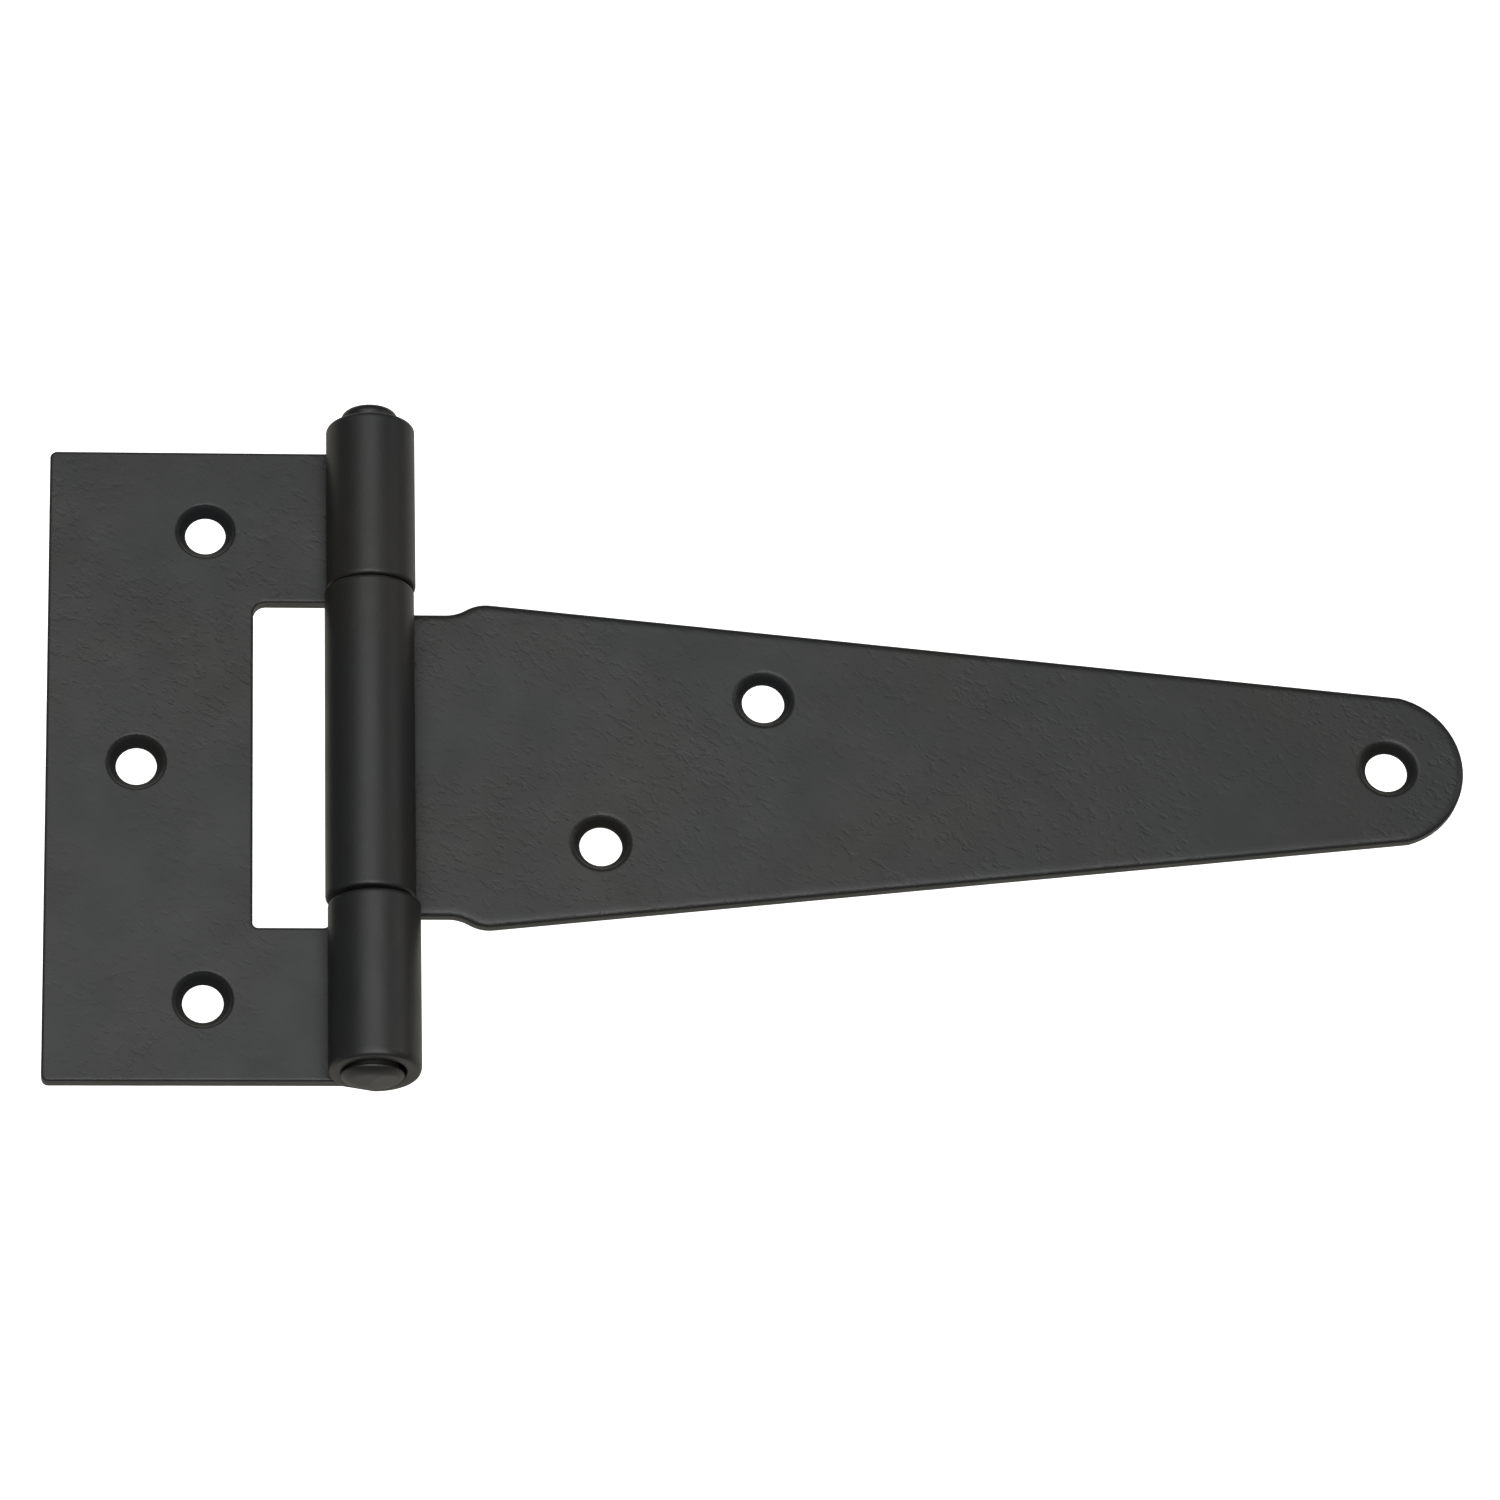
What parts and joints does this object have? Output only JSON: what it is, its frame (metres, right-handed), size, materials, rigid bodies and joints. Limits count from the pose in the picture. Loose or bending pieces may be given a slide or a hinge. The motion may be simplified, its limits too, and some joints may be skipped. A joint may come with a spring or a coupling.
{
  "type": "t hinge",
  "caption": "T hinge lying open: a slotted rectangular jamb leaf, a long tapered strap leaf with a round tip, and a riveted pin through rolled knuckles.",
  "frame": {"origin": "on the mounting plane, directly under the middle of the pin, where the strap's back face ends and its knuckle begins to curl", "axes": "+X along the strap from the pin to the tip, +Y along the pin axis, +Z out of the mounting plane, towards the countersunk front"},
  "size_m": [0.1969, 0.1007, 0.0127],
  "materials": {
    "leaf_coat": "satin black powder coat with a fine texture, over sheet steel",
    "strap_coat": "satin black powder coat with a fine texture, over sheet steel",
    "pin_coat": "satin black powder coat over a steel pin"
  },
  "bodies": {
    "jamb": {"jamb_leaf": "leaf_coat", "hinge_pin": "pin_coat"},
    "strap": {"strap_leaf": "strap_coat"}
  },
  "joints": [
    {"name": "strap_swing", "type": "hinge", "parent": "jamb", "child": "strap", "pos_m": [0, 0, 0.0062], "axis": [0, -1, 0], "range_deg": [-130, 188]}
  ]
}
